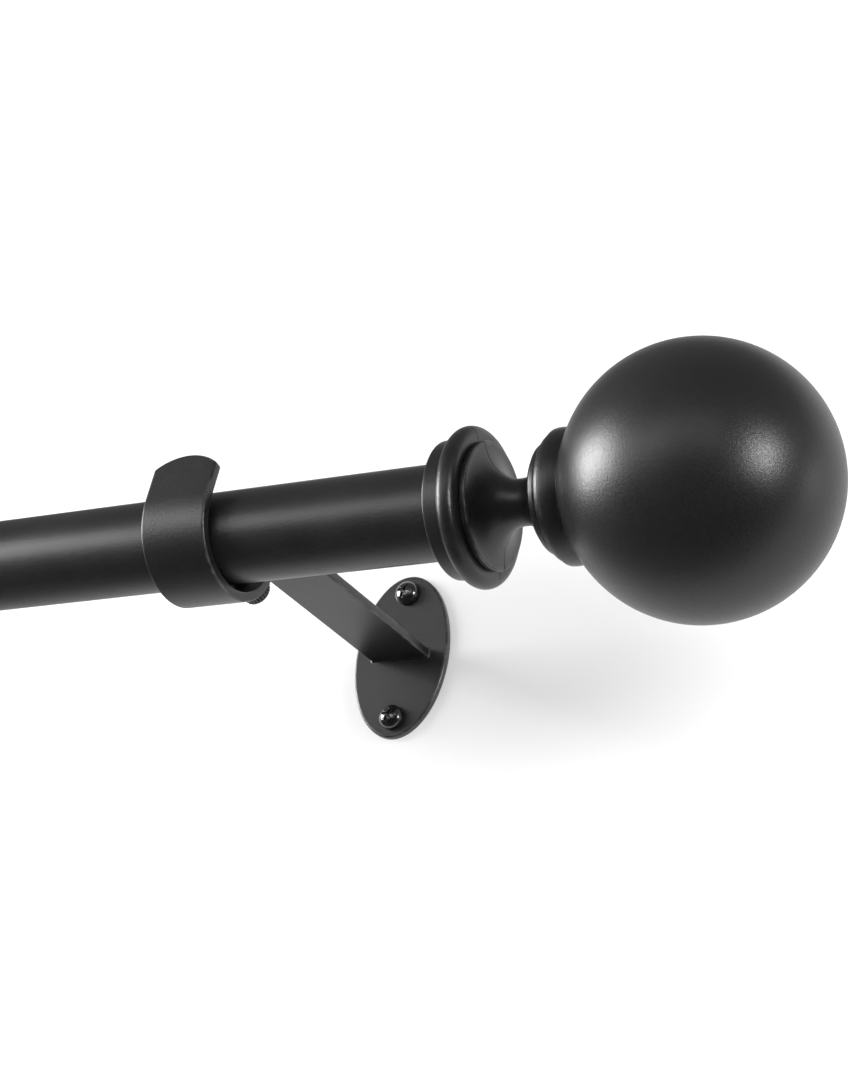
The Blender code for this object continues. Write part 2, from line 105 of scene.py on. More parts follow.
# Corners of the seat's front: (from its foot, below its crest, rounding).
SEAT_FOOT = (
    (0.0, 4.70 * MM, 0.50 * MM),
    (0.95 * MM, 3.30 * MM, 0.45 * MM),
)
FIRST_GROOVE = (
    (2.35 * MM, 2.88 * MM, 0.16 * MM),
    (2.45 * MM, 3.45 * MM, 0.06 * MM),
    (2.68 * MM, 3.35 * MM, 0.06 * MM),
    (2.76 * MM, 2.35 * MM, 0.20 * MM),
)
MIDDLE_RIDGE = (
    (3.60 * MM, 1.15 * MM, 0.42 * MM),
)
SECOND_GROOVE = (
    (4.74 * MM, 0.70 * MM, 0.16 * MM),
    (4.84 * MM, 1.25 * MM, 0.06 * MM),
    (5.08 * MM, 1.15 * MM, 0.06 * MM),
    (5.16 * MM, 0.42 * MM, 0.40 * MM),
)
STUD_BORE = 3.3 * MM
SEAM_ANGLE = math.radians(123.5)
SEAM_DEPTH = 0.10 * MM
SEAM_HALF = 0.16 * MM
BALL_WALL = 1.6 * MM
BALL_HOLE = 7.9 * MM

# ---- bracket ---------------------------------------------------------------
STRAP_THICK = 2.8 * MM
STRAP_ROUND = 0.55 * MM
CRADLE_OUTER = 18.9 * MM
ARM_BEND = 3.9 * MM       # middle line of the bend behind the rod
TIP_LEAN = math.radians(10.0)
TIP_CROWN = 3.7 * MM
TIP_CORNER = 0.9 * MM
PLATE_ROUND = 0.7 * MM
PLATE_HOLE = 2.3 * MM
DRILL_REACH = 4.0 * MM
EDGE_STEP = 0.35 * MM     # between rings on the plate's edge and round the weld
WELD_SIZE = 0.75 * MM
WELD_ROOT = 0.3 * MM      # how far the weld reaches under the arm's surface
WELD_SINK = 0.25 * MM     # how far the weld reaches into the plate

# ---- screws ----------------------------------------------------------------
HEAD_RISE = 3.4 * MM
HEAD_SIDE = 0.7 * MM
RECESS_REACH = 2.35 * MM
RECESS_HALF = 0.52 * MM
RECESS_DEPTH = 1.5 * MM
RECESS_SIDE = 0.16 * MM   # slope of the recess walls
RECESS_END = 0.30 * MM
RECESS_TURN = 0.35        # radians; how the screws happened to stop
DOME_POWER = 2.15         # 2 is a ball's cap; more is flatter on top
SHANK_RADIUS = 1.9 * MM
POINT_LENGTH = 6.0 * MM
WOOD_PITCH = 1.7 * MM
WOOD_THREAD = 0.45 * MM
THUMB_PITCH = 0.8 * MM
THUMB_THREAD = 0.25 * MM
THUMB_TILT = math.radians(6.0)   # the screw points up at the tube
THUMB_CHAMFER = 0.5 * MM
THUMB_PLAY = 0.15 * MM    # hole in the strap round the screw
KNOB_EDGE = 0.50 * MM
KNOB_BORE = 2.7 * MM
KNURL_TEETH = 26
KNURL_DEPTH = 0.36 * MM

# ---- stage -----------------------------------------------------------------
WALL_AT = 0.3 * MM
WALL_HALF = 5.0
WALL_TOP = 4.0
FLOOR_Z = -1.2
FLOOR_HALF = 8.0
WALL_PAINT = 0.36
# Middle, squash and (start, end) of each soft-edged stretch of wall.
WALL_SHADE = (0.045, 0.0, 0.0)    # painted shade beside the bracket
WALL_SHADE_SQUASH = 1.6
WALL_SHADE_EDGE = (0.020, 0.095)
WALL_GLOW = 0.33
WALL_GLOW_FAR = 0.66
WALL_PATCH = (0.16, 0.0, -0.07)   # bright stretch that only reflections see
WALL_PATCH_SQUASH = 1.25
WALL_PATCH_EDGE = (0.20, 0.50)
WALL_REFLECTED = 1.0
WALL_REFLECTED_FAR = 0.24
WALL_GLINT = (0.44, 0.0, 0.01)    # small bright patch that the ball mirrors
WALL_GLINT_EDGE = (0.02, 0.10)
WALL_GLINT_GAIN = 2.2
ROOM_LOW = 0.04
ROOM_HIGH = 0.28
REAR_LIGHT = 0.9
LIGHT_REACH = 2.4
CAMERA_AT = (0.35389, -0.58944, -0.27148)
CAMERA_HEADING = 0.53461  # radians, as are the next two
CAMERA_PITCH = 0.42677
CAMERA_ROLL = 0.12515
CAMERA_LENS = 79.254

# ---- where things are ------------------------------------------------------
tube_low, tube_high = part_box("outer_tube")
ROD_Y = 0.5 * (tube_low.y + tube_high.y)
ROD_Z = 0.5 * (tube_low.z + tube_high.z)
OUTER_RADIUS = 0.5 * (tube_high.z - tube_low.z)
THUMB_AXIS = Vector((0.0, math.cos(THUMB_TILT), -math.sin(THUMB_TILT)))
LEFT_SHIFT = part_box("left_wall_plate")[0].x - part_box("right_wall_plate")[0].x
LIGHT_AIM = Vector((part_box("right_finial_ball")[0].x, ROD_Y, ROD_Z))


# ---- materials -------------------------------------------------------------
class Tree:
    """A node tree with short ways to add and join nodes."""

    def __init__(self, tree):
        self.tree = tree

    def add(self, kind, **values):
        node = self.tree.nodes.new(kind)
        for key, value in values.items():
            setattr(node, key, value)
        return node

    def join(self, source, target):
        self.tree.links.new(source, target)

    def ramp(self, source, low, high, to_low=0.0, to_high=1.0):
        node = self.add("ShaderNodeMapRange", interpolation_type="SMOOTHSTEP")
        self.join(source, node.inputs["Value"])
        for key, value in (("From Min", low), ("From Max", high),
                           ("To Min", to_low), ("To Max", to_high)):
            node.inputs[key].default_value = value
        return node.outputs["Result"]

    def mix(self, factor, first, second):
        """Turns from the first shader to the second as the factor rises."""
        node = self.add("ShaderNodeMixShader")
        for socket, source in zip(node.inputs, (factor, first, second)):
            self.join(source, socket)
        return node.outputs[0]


class Nodes(Tree):
    """A material with noise, lighter edges (rubbed, and on the powder coat partly a painted
    highlight) and bump made from nodes.
    """

    def __init__(self, name):
        self.material = bpy.data.materials.new(name)
        self.material.use_nodes = True
        super().__init__(self.material.node_tree)
        self.shader = self.tree.nodes["Principled BSDF"]
        place = self.add("ShaderNodeTexCoord")
        self.place = place.outputs["Object"]

    def noise(self, scale, detail=3.0, rough=0.5, stretch=None):
        node = self.add("ShaderNodeTexNoise")
        node.inputs["Scale"].default_value = scale
        node.inputs["Detail"].default_value = detail
        node.inputs["Roughness"].default_value = rough
        if stretch:
            mapping = self.add("ShaderNodeMapping")
            mapping.inputs["Scale"].default_value = stretch
            self.join(self.place, mapping.inputs["Vector"])
            self.join(mapping.outputs["Vector"], node.inputs["Vector"])
        else:
            self.join(self.place, node.inputs["Vector"])
        return node.outputs["Fac"]

    def math(self, operation, a, b):
        node = self.add("ShaderNodeMath", operation=operation)
        for socket, value in zip(node.inputs, (a, b)):
            if isinstance(value, float):
                socket.default_value = value
            else:
                self.join(value, socket)
        return node.outputs["Value"]

    def blend(self, factor, a, b):
        node = self.add("ShaderNodeMix", data_type="RGBA")
        self.join(factor, node.inputs["Factor"])
        for socket, value in ((node.inputs[6], a), (node.inputs[7], b)):
            if isinstance(value, tuple):
                socket.default_value = (*value, 1.0)
            else:
                self.join(value, socket)
        return node.outputs[2]

    def edge_wear_and_highlight(self, breakup_scale, low, high):
        """Lighter edges, partly rubbed and partly a painted highlight: how tight the edge is, broken
        up by noise.
        """
        edge = self.add("ShaderNodeAttribute", attribute_name="edge_bend")
        breakup = self.ramp(self.noise(breakup_scale, 4.0, 0.6), low, high)
        return self.math("MULTIPLY", edge.outputs["Fac"], breakup)

    def bump(self, heights):
        """Stack bumps of (height socket, strength, distance), coarse first."""
        normal = None
        for height, strength, distance in heights:
            node = self.add("ShaderNodeBump")
            node.inputs["Strength"].default_value = strength
            node.inputs["Distance"].default_value = distance
            self.join(height, node.inputs["Height"])
            if normal:
                self.join(normal, node.inputs["Normal"])
            normal = node.outputs["Normal"]
        self.join(normal, self.shader.inputs["Normal"])


def painted_steel():
    """Satin black powder coat: fine grain, faint handling marks, and lighter tight edges that are
    partly rubbed paint and partly a painted highlight.
    """
    n = Nodes("satin_black_powder_coat")
    grain = n.noise(1500.0, 2.0, 0.55)
    cloud = n.noise(26.0, 3.0, 0.55)
    fleck = n.noise(4200.0, 1.0, 0.5)
    tone = n.blend(n.ramp(cloud, 0.32, 0.70), (0.0066, 0.0068, 0.0070), (0.0092, 0.0092, 0.0094))
    tone = n.blend(n.ramp(fleck, 0.60, 0.80, 0.0, 0.30), tone, (0.022, 0.022, 0.023))
    wear_and_highlight = n.edge_wear_and_highlight(230.0, 0.36, 0.66)
    # tight convex edges painted lighter: partly rubbed paint, partly a painted highlight
    tone = n.blend(n.math("MULTIPLY", wear_and_highlight, 0.62), tone, (0.085, 0.085, 0.088))
    n.join(tone, n.shader.inputs["Base Color"])
    rough = n.ramp(cloud, 0.30, 0.72, 0.330, 0.385)
    rough = n.math("ADD", rough, n.ramp(grain, 0.30, 0.70, -0.02, 0.03))
    rough = n.math("SUBTRACT", rough, n.math("MULTIPLY", wear_and_highlight, 0.13))
    n.join(rough, n.shader.inputs["Roughness"])
    n.shader.inputs["Metallic"].default_value = 0.0
    n.shader.inputs["IOR"].default_value = 1.5
    n.bump(((cloud, 0.05, 0.4 * MM), (grain, 0.70, 0.05 * MM), (fleck, 0.60, 0.03 * MM)))
    return n.material


def glossy_screw():
    """Lacquered black pan head with a mottled tone, fine bumps and slightly lighter tight edges."""
    n = Nodes("glossy_black_lacquer")
    cloud = n.noise(420.0, 3.0, 0.6)
    wear_and_highlight = n.edge_wear_and_highlight(900.0, 0.40, 0.68)
    tone = n.blend(n.ramp(cloud, 0.35, 0.7), (0.005, 0.005, 0.0055), (0.011, 0.011, 0.012))
    tone = n.blend(n.math("MULTIPLY", wear_and_highlight, 0.25), tone, (0.06, 0.06, 0.062))
    n.join(tone, n.shader.inputs["Base Color"])
    n.join(n.ramp(cloud, 0.3, 0.75, 0.17, 0.28), n.shader.inputs["Roughness"])
    n.shader.inputs["IOR"].default_value = 1.6
    n.shader.inputs["Coat Weight"].default_value = 0.6
    n.shader.inputs["Coat Roughness"].default_value = 0.06
    n.bump(((cloud, 0.10, 0.03 * MM), (n.noise(3800.0, 2.0, 0.5), 0.06, 0.01 * MM)))
    return n.material


def blackened_steel():
    """Black-oxide steel with oil-dark hollows and rubbed crests."""
    n = Nodes("blackened_steel_oxide")
    cloud = n.noise(300.0, 4.0, 0.6)
    grain = n.noise(2600.0, 3.0, 0.55)
    wear_and_highlight = n.edge_wear_and_highlight(700.0, 0.38, 0.70)
    tone = n.blend(n.ramp(cloud, 0.3, 0.7), (0.006, 0.006, 0.007), (0.014, 0.014, 0.015))
    tone = n.blend(n.math("MULTIPLY", wear_and_highlight, 0.45), tone, (0.16, 0.16, 0.165))
    n.join(tone, n.shader.inputs["Base Color"])
    rough = n.math("SUBTRACT", n.ramp(grain, 0.3, 0.7, 0.30, 0.46), n.math("MULTIPLY", wear_and_highlight, 0.08))
    n.join(rough, n.shader.inputs["Roughness"])
    n.shader.inputs["Metallic"].default_value = 0.40
    n.bump(((cloud, 0.08, 0.05 * MM), (grain, 0.12, 0.02 * MM)))
    return n.material


def black_nylon():
    """Moulded nylon with a fine matt texture."""
    n = Nodes("moulded_black_nylon")
    grain = n.noise(1900.0, 3.0, 0.6)
    cloud = n.noise(90.0, 3.0, 0.5)
    n.join(n.blend(n.ramp(cloud, 0.3, 0.7), (0.014, 0.014, 0.015), (0.024, 0.024, 0.025)),
           n.shader.inputs["Base Color"])
    n.join(n.ramp(grain, 0.3, 0.7, 0.46, 0.60), n.shader.inputs["Roughness"])
    n.bump(((cloud, 0.05, 0.2 * MM), (grain, 0.25, 0.04 * MM)))
    return n.material


def zinc():
    """Die-cast zinc: dull, mottled grey with a fine cast grain."""
    n = Nodes("dull_cast_zinc")
    cloud = n.noise(140.0, 5.0, 0.6)
    grain = n.noise(1400.0, 3.0, 0.6)
    n.join(n.blend(n.ramp(cloud, 0.3, 0.7), (0.34, 0.35, 0.36), (0.52, 0.53, 0.55)),
           n.shader.inputs["Base Color"])
    n.join(n.ramp(cloud, 0.3, 0.7, 0.34, 0.52), n.shader.inputs["Roughness"])
    n.shader.inputs["Metallic"].default_value = 1.0
    n.bump(((cloud, 0.08, 0.1 * MM), (grain, 0.15, 0.03 * MM)))
    return n.material


PAINT = painted_steel()
SCREW = glossy_screw()
STEEL = blackened_steel()
NYLON = black_nylon()
ZINC = zinc()


# ---- outlines --------------------------------------------------------------
def rounded(corners, closed=True):
    """Outline through (along, out, round) corners, each eased by its radius."""
    count = len(corners)
    points = []
    for i, (a, r, size) in enumerate(corners):
        here = Vector((a, r))
        if size <= 0.0 or (not closed and i in (0, count - 1)):
            points.append(here)
            continue
        to_last = (Vector(corners[i - 1][:2]) - here)
        to_next = (Vector(corners[(i + 1) % count][:2]) - here)
        bend = to_last.angle(to_next)
        reach = min(size / math.tan(0.5 * bend), 0.49 * to_last.length, 0.49 * to_next.length)
        start = here + to_last.normalized() * reach
        end = here + to_next.normalized() * reach
        middle = here + (to_last.normalized() + to_next.normalized()).normalized() * (
            reach / math.cos(0.5 * bend))
        sweep = (start - middle).angle(end - middle)
        for k in range(ROUND_STEPS + 1):
            t = k / ROUND_STEPS
            near = (start - middle) * math.sin((1.0 - t) * sweep)
            far = (end - middle) * math.sin(t * sweep)
            points.append(middle + (near + far) / math.sin(sweep))
    return points


def spaced(points, longest=LONGEST_STEP, closed=True):
    """The same outline with no stretch between points longer than longest."""
    result = []
    count = len(points)
    for i in range(count if closed else count - 1):
        a, b = points[i], points[(i + 1) % count]
        parts = max(1, math.ceil((b - a).length / longest))
        for k in range(parts):
            t = k / parts
            if parts > 3:  # crowd the ends, so that the lighter edge tone, partly wear and partly a painted highlight, stays at the edge
                t = 0.5 - 0.5 * math.cos(math.pi * t)
            result.append(a.lerp(b, t))
    if not closed:
        result.append(points[-1])
    return result


def arc_points(centre, radius, start, end, steps):
    """Points on an arc, angles in degrees, both ends included."""
    turns = [math.radians(start + (end - start) * k / steps) for k in range(steps + 1)]
    return [Vector((centre[0] + radius * math.cos(t), centre[1] + radius * math.sin(t)))
            for t in turns]


def outline_normals(points):
    """Outward normals of a closed outline run rod side, outside, far side, bore."""
    normals = []
    count = len(points)
    for i in range(count):
        run = points[(i + 1) % count] - points[i - 1]
        normals.append(Vector((-run.y, run.x)).normalized())
    return normals


def even_turns(count, extra=()):
    turns = [TAU * k / count for k in range(count)]
    return sorted(set(turns) | {t % TAU for t in extra})


# ---- meshes ----------------------------------------------------------------
def store_edge_bend(mesh, bm):
    """Writes how tightly each vertex's surface bends outwards, 0 to 1."""
    edge_wear_and_highlight = []
    for vert in bm.verts:
        tight = 0.0
        for edge in vert.link_edges:
            if len(edge.link_faces) != 2:
                continue
            a, b = edge.link_faces
            if not edge.is_convex:
                continue
            apart = max((a.calc_center_median() - b.calc_center_median()).length, 0.05 * MM)
            tight = max(tight, edge.calc_face_angle(0.0) / apart)
        edge_wear_and_highlight.append(min(tight / WEAR_AND_HIGHLIGHT_CURVATURE, 1.0) ** 1.5)
    layer = mesh.attributes.new("edge_bend", "FLOAT", "POINT")
    layer.data.foreach_set("value", edge_wear_and_highlight)


def finish_piece(name, verts, faces, material, body, nodes, sharp=SHARP_ANGLE):
    """Makes the object, gives it its finish and fixes it to its body."""
    mesh = bpy.data.meshes.new(name)
    mesh.from_pydata([tuple(v) for v in verts], [], faces)
    bm = bmesh.new()
    bm.from_mesh(mesh)
    bmesh.ops.remove_doubles(bm, verts=bm.verts, dist=1e-7)
    bmesh.ops.recalc_face_normals(bm, faces=bm.faces)
    if bm.calc_volume(signed=True) < 0.0:
        bmesh.ops.reverse_faces(bm, faces=bm.faces)
    bm.to_mesh(mesh)
    bm.verts.ensure_lookup_table()
    store_edge_bend(mesh, bm)
    bm.free()
    mesh.shade_smooth()
    mesh.set_sharp_from_angle(angle=math.radians(sharp))
    mesh.materials.append(material)
    piece = bpy.data.objects.new(name, mesh)
    bpy.context.scene.collection.objects.link(piece)
    attach(piece, body, nodes)
    return piece


def attach(piece, body, nodes):
    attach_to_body(piece, body)
    if nodes:
        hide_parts(*nodes)


def bridge(rings, closed=True, skip=None):
    """Faces between each ring of vertices and the next."""
    faces = []
    for k in range(len(rings) if closed else len(rings) - 1):
        if k == skip:
            continue
        ring, other = rings[k], rings[(k + 1) % len(rings)]
        for i in range(len(ring)):
            j = (i + 1) % len(ring)
            corners = list(dict.fromkeys((ring[i], ring[j], other[j], other[i])))
            if len(corners) > 2:
                faces.append(corners)
    return faces


def revolve(name, points, axis, origin, turns, material, body, nodes, relief=None):
    """Turns an outline of (along, out) points round an axis.

    relief(along, out, turn) gives how far the surface stands out of the
    outline there.  A point with no radius is a pole.
    """
    u = Y_AXIS if abs(axis.y) < 0.5 else X_AXIS
    v = (Z_AXIS - axis * axis.z).normalized()
    normals = outline_normals(points)
    verts, rings = [], []
    for (along, out), normal in zip(points, normals):
        if out < 1e-7:
            rings.append([len(verts)] * len(turns))
            verts.append(origin + axis * along)
            continue
        ring = []
        for turn in turns:
            a, r = along, out
            if relief:
                rise = relief(along, out, turn)
                a += normal.x * rise
                r += normal.y * rise
            ring.append(len(verts))
            verts.append(origin + axis * a + (u * math.cos(turn) + v * math.sin(turn)) * r)
        rings.append(ring)
    return finish_piece(name, verts, bridge(rings), material, body, nodes)


def cut_hole(piece, axis, centre, radius, half_length):
    """Drills a round hole through a piece with a boolean cut and shades its edges sharp."""
    bm = bmesh.new()
    spin = axis.to_track_quat("Z", "Y").to_matrix().to_4x4()
    bmesh.ops.create_cone(bm, cap_ends=True, segments=DRILL_FACETS, radius1=radius, radius2=radius,
                          depth=2.0 * half_length, matrix=Matrix.Translation(centre) @ spin)
    mesh = bpy.data.meshes.new("drill")
    bm.to_mesh(mesh)
    bm.free()
    drill = bpy.data.objects.new("drill", mesh)
    bpy.context.scene.collection.objects.link(drill)
    bpy.context.view_layer.update()
    mod = piece.modifiers.new("hole", "BOOLEAN")
    mod.operation, mod.solver, mod.object = "DIFFERENCE", "EXACT", drill
    graph = bpy.context.evaluated_depsgraph_get()
    cut = bpy.data.meshes.new_from_object(piece.evaluated_get(graph))
    piece.modifiers.clear()
    piece.data = cut
    cut.set_sharp_from_angle(angle=math.radians(SHARP_ANGLE))
    bpy.data.objects.remove(drill, do_unlink=True)
    bpy.data.meshes.remove(mesh)


def shifted_copy(piece, name, shift, body, nodes):
    """The same piece on the other bracket."""
    other = piece.copy()
    other.data = piece.data.copy()
    for key in list(other.keys()):
        if key.startswith("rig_"):
            del other[key]
    other.name = name
    other.parent = None
    other.matrix_world = Matrix.Identity(4)
    other.data.transform(Matrix.Translation(X_AXIS * shift))
    bpy.context.scene.collection.objects.link(other)
    attach(other, body, nodes)
    return other


# ---- rod -------------------------------------------------------------------
def tube(name, node, body):
    """Rolled steel tube with eased ends."""
    low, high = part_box(node)
    radius = 0.5 * (high.z - low.z)
    bore = radius - TUBE_WALL
    length = high.x - low.x
    ease = TUBE_EASE
    corners = [(0.0, bore, ease), (0.0, radius, ease), (length, radius, ease), (length, bore, ease)]
    origin = Vector((low.x, ROD_Y, ROD_Z))
    points = spaced(rounded(corners), TUBE_STEP)
    revolve(name, points, X_AXIS, origin, even_turns(FINE_TURN), PAINT, body, [node])


def adapter_sleeve():
    """Ring between the thin tube and the finial's socket."""
    node = "left_adapter_sleeve"
    low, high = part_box(node)
    outer = 0.5 * (high.z - low.z)
    bore = 0.5 * (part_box("inner_tube")[1].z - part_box("inner_tube")[0].z) + SLEEVE_PLAY
    length = high.x - low.x
    ease = SLEEVE_EASE
    corners = [(0.0, bore, ease), (0.0, outer, ease), (length, outer, ease), (length, bore, ease)]
    revolve("left_socket_sleeve", spaced(rounded(corners)), X_AXIS, Vector((low.x, ROD_Y, ROD_Z)),
            even_turns(FINE_TURN), NYLON, "inner_rod", [node])


# ---- finials ---------------------------------------------------------------
def bead_points(rim, crest):
    """Full round bead from the band to the groove beside the step ring."""
    middle = BAND_LENGTH + BEAD_HALF
    rise = crest - rim
    points = []
    for k in range(BEAD_STEPS + 1):
        turn = math.pi * (1.0 - k / BEAD_STEPS)
        across, up = math.cos(turn), math.sin(turn)
        power = 2.0 / BEAD_SQUARENESS
        points.append(Vector((
            middle + BEAD_HALF * math.copysign(abs(across) ** power, across),
            rim + rise * up ** power,
        )))
    return points


def collar_outline(rim, crest, length):
    """Socket, rim, band, bead, step ring, cove and neck."""
    socket = OUTER_RADIUS + SOCKET_PLAY
    step = rim - STEP_DROP
    groove = BAND_LENGTH + 2.0 * BEAD_HALF
    step_end = groove + STEP_LENGTH
    shoulder = step - STEP_SHOULDER
    cove = []
    steps = 22
    for k in range(steps + 1):
        turn = 0.5 * math.pi * k / steps
        cove.append(Vector((
            step_end + 0.10 * MM + COVE_LENGTH * (1.0 - math.cos(turn)),
            NECK_RADIUS + (shoulder - NECK_RADIUS) * (1.0 - math.sin(turn)),
        )))
    front = rounded([(0.0, socket, 0.0), (0.0, rim, RIM_ROUND), (BAND_LENGTH, rim, 0.0)],
                    closed=False)
    ring = rounded([
        (groove, rim, 0.0),
        (groove + 0.02 * MM, step - GROOVE_DROP, 0.08 * MM),
        (groove + 0.20 * MM, step - GROOVE_DROP, 0.05 * MM),
        (groove + 0.24 * MM, step + STEP_CROWN, STEP_ROUND),
        (step_end, step + STEP_CROWN, STEP_ROUND),
        (step_end + 0.05 * MM, shoulder, 0.0),
    ], closed=False)
    for k in range(1, steps + 1):
        turn = 0.5 * math.pi * k / steps
        cove.append(Vector((
            length - FLARE_LENGTH * (1.0 - math.sin(turn)),
            NECK_RADIUS + FLARE_RISE * (1.0 - math.cos(turn)),
        )))
    tail = rounded([
        (length, NECK_RADIUS + FLARE_RISE, 0.0),
        (length, STUD_BORE, 0.0),
        (SOCKET_DEPTH, STUD_BORE, 0.0),
        (SOCKET_DEPTH, socket, 0.0),
    ], closed=False)
    return front[:-1] + bead_points(rim, crest) + ring[1:] + cove + tail[1:]


def seam_relief(along, out, turn):
    """Fine parting line down both sides of the collar, past the band."""
    if along < BAND_LENGTH or out < 1.2 * STUD_BORE:
        return 0.0
    rise = 0.0
    for seam in (SEAM_ANGLE, SEAM_ANGLE + math.pi):
        off = abs((turn - seam + math.pi) % TAU - math.pi) * out
        rise -= SEAM_DEPTH * max(0.0, 1.0 - off / SEAM_HALF)
    return rise


def seam_turns():
    """Extra facet corners close to the two parting lines."""
    extra = []
    for seam in (SEAM_ANGLE, SEAM_ANGLE + math.pi):
        for off in (0.0, 0.22, 0.45, 0.8, 1.4):
            extra += [seam + math.radians(off), seam - math.radians(off)]
    return extra


def seat_outline(start, crest, ball_centre, ball_radius):
    """Flange with two fine ridges and a barrel-shaped rim, cupped for the ball."""
    shell = ball_radius + PIECE_GAP
    corners = [(start, STUD_BORE, 0.0)]
    for along, drop, ease in SEAT_FOOT + FIRST_GROOVE + MIDDLE_RIDGE + SECOND_GROOVE:
        corners.append((start + along, crest - drop, ease))
    corners.append((SEAT_MIDDLE - 1.10 * MM, crest - 0.10 * MM, 0.0))
    front = rounded(corners, closed=False)
    rim = arc_points((SEAT_MIDDLE, crest - SEAT_ROUND), SEAT_ROUND, 97.0, 60.5, 16)
    lip = rim[-1].y
    cup = []
    steps = 8
    for k in range(steps + 1):
        out = lip + (BALL_HOLE - lip) * k / steps
        cup.append(Vector((ball_centre - math.sqrt(shell * shell - out * out), out)))
    back = [Vector((cup[-1].x - 0.2 * MM, STUD_BORE))]
    return front + rim + cup + back


def ball_outline(centre, radius):
    """Hollow shell with the round hole that faces the seat."""
    inside = radius - BALL_WALL
    outer_start = 180.0 - math.degrees(math.asin(BALL_HOLE / radius))
    inner_start = 180.0 - math.degrees(math.asin(BALL_HOLE / inside))
    outer = arc_points((centre, 0.0), radius, outer_start, 0.0, 84)
    inner = arc_points((centre, 0.0), inside, 0.0, inner_start, 24)
    outer[-1] = Vector((centre + radius, 0.0))
    inner[0] = Vector((centre + inside, 0.0))
    return outer, inner


def ball(name, centre_x, radius, outward, body, node):
    outer, inner = ball_outline(0.0, radius)
    axis = X_AXIS * outward
    origin = Vector((centre_x, ROD_Y, ROD_Z))
    turns = even_turns(FINE_TURN)
    verts, rings = [], []
    for along, out in outer + inner:
        if out < 1e-7:
            rings.append([len(verts)] * len(turns))
            verts.append(origin + axis * along)
            continue
        rings.append(list(range(len(verts), len(verts) + len(turns))))
        for turn in turns:
            spoke = Y_AXIS * math.cos(turn) + Z_AXIS * math.sin(turn)
            verts.append(origin + axis * along + spoke * out)
    faces = bridge(rings, skip=len(outer) - 1)  # the two poles are not joined
    return finish_piece(name, verts, faces, PAINT, body, [node])


def finial(side, outward):
    body = side + "_finial"
    collar_low, collar_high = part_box(side + "_finial_collar")
    seat_low, seat_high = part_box(side + "_finial_seat")
    ball_low, ball_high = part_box(side + "_finial_ball")
    rim_x = collar_low.x if outward > 0.0 else collar_high.x
    origin = Vector((rim_x, ROD_Y, ROD_Z))
    axis = X_AXIS * outward
    crest = 0.5 * (collar_high.z - collar_low.z)
    rim = crest - BEAD_RISE
    length = collar_high.x - collar_low.x
    ball_radius = 0.5 * (ball_high.z - ball_low.z)
    far = ball_high.x if outward > 0.0 else ball_low.x
    ball_x = far - outward * ball_radius
    turns = even_turns(FINE_TURN, seam_turns())
    revolve(side + "_collar", spaced(collar_outline(rim, crest, length)), axis, origin, turns,
            PAINT, body, [side + "_finial_collar"], seam_relief)
    start = length + PIECE_GAP
    seat_crest = 0.5 * (seat_high.z - seat_low.z)
    points = seat_outline(start, seat_crest, abs(ball_x - rim_x), ball_radius)
    revolve(side + "_seat", spaced(points), axis, origin, even_turns(FINE_TURN),
            PAINT, body, [side + "_finial_seat"])
    ball(side + "_ball", ball_x, ball_radius, outward, body, side + "_finial_ball")


# ---- brackets --------------------------------------------------------------
def strap_path(low, high):
    """Middle line of the strap from the wall plate to the start of its tip.

    Gives (point, tangent) pairs in the YZ plane and the straight run left.
    """
    centre = Vector((low.y + CRADLE_OUTER, low.z + CRADLE_OUTER))
    mid = CRADLE_OUTER - 0.5 * STRAP_THICK
    rear = centre.x + mid
    arm_z = 0.0
    stations = []
    plate_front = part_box("right_wall_plate")[0].y
    run_end = rear + ARM_BEND
    steps = 40
    for k in range(steps):
        stations.append((Vector((plate_front + (run_end - plate_front) * k / steps, arm_z)),
                         Vector((-1.0, 0.0))))
    bend_centre = Vector((run_end, arm_z - ARM_BEND))
    steps = 12
    for k in range(steps + 1):
        turn = 0.5 * math.pi * (1.0 + k / steps)
        stations.append((bend_centre + ARM_BEND * Vector((math.cos(turn), math.sin(turn))),
                         Vector((-math.sin(turn), math.cos(turn)))))
    drop = stations[-1][0].y - centre.y
    steps = 6
    for k in range(1, steps):
        stations.append((Vector((rear, centre.y + drop * (1.0 - k / steps))),
                         Vector((0.0, -1.0))))
    steps = 96
    sweep = math.pi + TIP_LEAN
    for k in range(steps + 1):
        turn = -sweep * k / steps
        stations.append((centre + mid * Vector((math.cos(turn), math.sin(turn))),
                         Vector((math.sin(turn), -math.cos(turn)))))
    top = high.z - 0.5 * STRAP_THICK * math.sin(TIP_LEAN)
    run = (top - stations[-1][0].y) / math.cos(TIP_LEAN)
    return stations, run


def tip_outline(half, run):
    """Half outline of the tip as (along, across, normal) from side to apex."""
    crown = (half * half + TIP_CROWN * TIP_CROWN) / (2.0 * TIP_CROWN)
    hub = run - crown
    inner = crown - TIP_CORNER
    across = half - TIP_CORNER
    corner = Vector((hub + math.sqrt(inner * inner - across * across), across))
    lean = math.atan2(corner.y, corner.x - hub)
    points = []
    steps = 6
    for k in range(steps + 1):
        turn = 0.5 * math.pi + (lean - 0.5 * math.pi) * k / steps
        normal = Vector((math.cos(turn), math.sin(turn)))
        points.append((corner + normal * TIP_CORNER, normal))
    steps = 24
    for k in range(1, steps + 1):
        turn = lean * (1.0 - k / steps)
        normal = Vector((math.cos(turn), math.sin(turn)))
        points.append((Vector((hub, 0.0)) + normal * crown, normal))
    return points


def strap_rows(half, stations, run):
    """Rows along the strap: path point, tangent, half outline and its normal."""
    rows = [(point, tangent, Vector((0.0, half)), Vector((0.0, 1.0)))
            for point, tangent in stations]
    base, tangent = stations[-1]
    tip = tip_outline(half, run)
    straight = tip[0][0].x
    steps = 8
    for k in range(1, steps):
        rows.append((base, tangent, Vector((straight * k / steps, half)), Vector((0.0, 1.0))))
    rows += [(base, tangent, place, normal) for place, normal in tip]
    return rows


